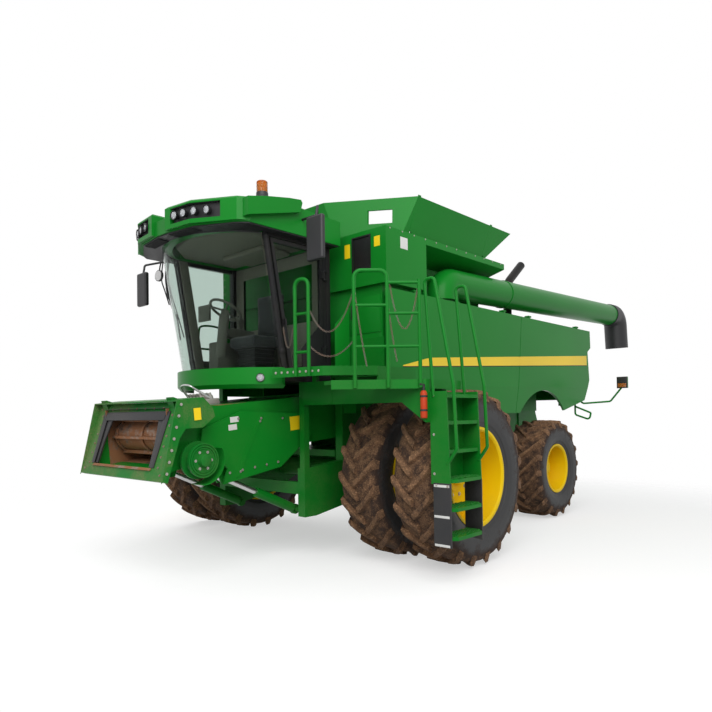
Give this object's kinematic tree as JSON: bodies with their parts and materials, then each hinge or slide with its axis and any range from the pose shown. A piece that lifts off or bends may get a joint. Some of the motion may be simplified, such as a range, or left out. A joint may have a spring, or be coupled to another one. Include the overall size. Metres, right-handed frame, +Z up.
{
  "type": "combine harvester",
  "caption": "Self-propelled grain harvester on twin front wheels, with cab, feeder house, open grain tank, folding unloading tube and steered rear wheels.",
  "frame": {"origin": "on the ground, under the middle of the whole machine's bounding box", "axes": "+X to the machine's left, -Y to its front, +Z up"},
  "size_m": [5.4623, 10.4785, 4.358],
  "materials": {
    "black_rubber": "moulded",
    "green_paint": "glossy machine paint",
    "amber_lens": "clear amber",
    "black_plastic": "grained",
    "black_paint": "satin",
    "window_glass": "clear",
    "dark_green_paint": "glossy machine paint, worn",
    "worn_steel": "bare, worn and rusty",
    "cast_green": "painted casting",
    "yellow_paint": "glossy wheel paint",
    "tyre_rubber": "lugged tread with dried mud",
    "hydraulic_steel": "ground rod",
    "seat_fabric": "woven"
  },
  "bodies": {
    "machine": {"beacon_lamp": "amber_lens", "cab_bumper": "green_paint", "cab_controls": "black_plastic", "cab_glass": "window_glass", "cab_roof": "green_paint", "cab_shell": "green_paint", "chassis_frame": "dark_green_paint", "engine_block": "black_paint", "engine_deck": "green_paint", "exhaust_pipe": "black_paint", "front_axle": "cast_green", "grain_tank": "green_paint", "ladder": "green_paint", "marker_arms": "green_paint", "operator_seat": "seat_fabric", "platform": "green_paint", "rear_axle": "cast_green", "rear_hood": "green_paint", "separator_body": "green_paint", "shield_frame": "green_paint", "side_mirrors": "black_plastic", "straw_chopper": "dark_green_paint", "tank_extension": "green_paint"},
    "feeder": {"feeder_house": "green_paint", "feeder_faceplate": "green_paint", "feeder_conveyor": "worn_steel", "feeder_shield": "green_paint"},
    "drum": {"feeder_drum": "worn_steel"},
    "pulley": {"feeder_pulley": "cast_green"},
    "lift_barrel_left": {"lift_barrel_left": "green_paint"},
    "lift_barrel_right": {"lift_barrel_right": "green_paint"},
    "lift_rod_left": {"lift_rod_left": "hydraulic_steel"},
    "lift_rod_right": {"lift_rod_right": "hydraulic_steel"},
    "front_wheels_left": {"front_tyres_left": "tyre_rubber", "front_rims_left": "yellow_paint"},
    "front_wheels_right": {"front_tyres_right": "tyre_rubber", "front_rims_right": "yellow_paint"},
    "rear_wheel_left": {"rear_tyre_left": "tyre_rubber", "rear_rim_left": "yellow_paint"},
    "rear_wheel_right": {"rear_tyre_right": "tyre_rubber", "rear_rim_right": "yellow_paint"},
    "knuckle_left": {"steering_knuckle_left": "cast_green"},
    "knuckle_right": {"steering_knuckle_right": "cast_green"},
    "tie_rod": {"tie_rod": "dark_green_paint"},
    "auger": {"auger_tube": "green_paint", "auger_spout": "black_rubber"},
    "cover_left": {"tank_cover_left": "green_paint"},
    "cover_right": {"tank_cover_right": "green_paint"},
    "front_shield_left": {"front_shield_left": "green_paint"},
    "front_shield_right": {"front_shield_right": "green_paint"},
    "rear_shield_left": {"rear_shield_left": "green_paint"},
    "rear_shield_right": {"rear_shield_right": "green_paint"},
    "door": {"cab_door": "black_paint", "cab_door_glass": "window_glass"},
    "tailboard": {"tailboard": "dark_green_paint"}
  },
  "joints": [
    {"name": "feeder_lift", "type": "hinge", "parent": "machine", "child": "feeder", "pos_m": [-0.18, -2.275, 1.72], "axis": [-1, 0, 0], "range_deg": [-12, 4]},
    {"name": "drum_spin", "type": "hinge", "parent": "feeder", "child": "drum", "pos_m": [-0.18, -4.78141, 1.48748], "axis": [1, 0, 0], "continuous": true},
    {"name": "pulley_spin", "type": "hinge", "parent": "feeder", "child": "pulley", "pos_m": [0.665, -4.77962, 1.25164], "axis": [1, 0, 0], "continuous": true},
    {"name": "lift_barrel_left_pivot", "type": "hinge", "parent": "machine", "child": "lift_barrel_left", "pos_m": [0.35, -3.275, 0.56], "axis": [-1, 0, 0], "range_deg": [-18.72, 6.24]},
    {"name": "lift_rod_left_slide", "type": "slide", "parent": "lift_barrel_left", "child": "lift_rod_left", "axis": [0, -0.9126, 0.4089], "range_m": [-0.28903, 0.09634]},
    {"name": "lift_barrel_right_pivot", "type": "hinge", "parent": "machine", "child": "lift_barrel_right", "pos_m": [-0.71, -3.275, 0.56], "axis": [-1, 0, 0], "range_deg": [-18.72, 6.24]},
    {"name": "lift_rod_right_slide", "type": "slide", "parent": "lift_barrel_right", "child": "lift_rod_right", "axis": [0, -0.9126, 0.4089], "range_m": [-0.28903, 0.09634]},
    {"name": "front_wheels_left_spin", "type": "hinge", "parent": "machine", "child": "front_wheels_left", "pos_m": [-0.18, -2.325, 0.975], "axis": [1, 0, 0], "continuous": true},
    {"name": "front_wheels_right_spin", "type": "hinge", "parent": "machine", "child": "front_wheels_right", "pos_m": [-0.18, -2.325, 0.975], "axis": [1, 0, 0], "continuous": true},
    {"name": "steer_left", "type": "hinge", "parent": "machine", "child": "knuckle_left", "pos_m": [0.94, 1.235, 0.775], "axis": [0, 0, 1], "range_deg": [-35, 35]},
    {"name": "steer_right", "type": "hinge", "parent": "machine", "child": "knuckle_right", "pos_m": [-1.3, 1.235, 0.775], "axis": [0, 0, 1], "range_deg": [-35, 35]},
    {"name": "tie_rod_pivot", "type": "hinge", "parent": "knuckle_left", "child": "tie_rod", "pos_m": [0.94, 1.495, 0.775], "axis": [0, 0, 1], "range_deg": [-35, 35]},
    {"name": "rear_wheel_left_spin", "type": "hinge", "parent": "knuckle_left", "child": "rear_wheel_left", "pos_m": [1.33, 1.235, 0.775], "axis": [1, 0, 0], "continuous": true},
    {"name": "rear_wheel_right_spin", "type": "hinge", "parent": "knuckle_right", "child": "rear_wheel_right", "pos_m": [-1.69, 1.235, 0.775], "axis": [1, 0, 0], "continuous": true},
    {"name": "auger_swing", "type": "hinge", "parent": "machine", "child": "auger", "pos_m": [1.22, -1.375, 3.2], "axis": [0, 0, -1], "range_deg": [0, 105]},
    {"name": "cover_left_fold", "type": "hinge", "parent": "machine", "child": "cover_left", "pos_m": [1.29662, -1.325, 3.9066], "axis": [0, -1, 0], "range_deg": [0, 105]},
    {"name": "cover_right_fold", "type": "hinge", "parent": "machine", "child": "cover_right", "pos_m": [-1.65662, -1.325, 3.9066], "axis": [0, 1, 0], "range_deg": [0, 105]},
    {"name": "front_shield_left_open", "type": "hinge", "parent": "machine", "child": "front_shield_left", "pos_m": [1.395, -1.125, 3.19], "axis": [0, -1, 0], "range_deg": [0, 50]},
    {"name": "front_shield_right_open", "type": "hinge", "parent": "machine", "child": "front_shield_right", "pos_m": [-1.755, -1.125, 3.19], "axis": [0, 1, 0], "range_deg": [0, 50]},
    {"name": "rear_shield_left_open", "type": "hinge", "parent": "machine", "child": "rear_shield_left", "pos_m": [1.395, 1.775, 3.19], "axis": [0, -1, 0], "range_deg": [0, 50]},
    {"name": "rear_shield_right_open", "type": "hinge", "parent": "machine", "child": "rear_shield_right", "pos_m": [-1.755, 1.775, 3.19], "axis": [0, 1, 0], "range_deg": [0, 50]},
    {"name": "door_swing", "type": "hinge", "parent": "machine", "child": "door", "pos_m": [0.77, -3.137, 2.9], "axis": [0, 0, 1], "range_deg": [0, 80]},
    {"name": "tailboard_tilt", "type": "hinge", "parent": "machine", "child": "tailboard", "pos_m": [-0.18, 2.89, 1.33], "axis": [1, 0, 0], "range_deg": [-25, 35]}
  ],
  "couplings": [
    {"joint": "lift_barrel_left_pivot", "follows": "feeder_lift", "ratio": 1.56},
    {"joint": "lift_rod_left_slide", "follows": "feeder_lift", "m_per_rad": 1.38},
    {"joint": "lift_barrel_right_pivot", "follows": "feeder_lift", "ratio": 1.56},
    {"joint": "lift_rod_right_slide", "follows": "feeder_lift", "m_per_rad": 1.38},
    {"joint": "steer_right", "follows": "steer_left", "ratio": 1},
    {"joint": "tie_rod_pivot", "follows": "steer_left", "ratio": -1}
  ]
}
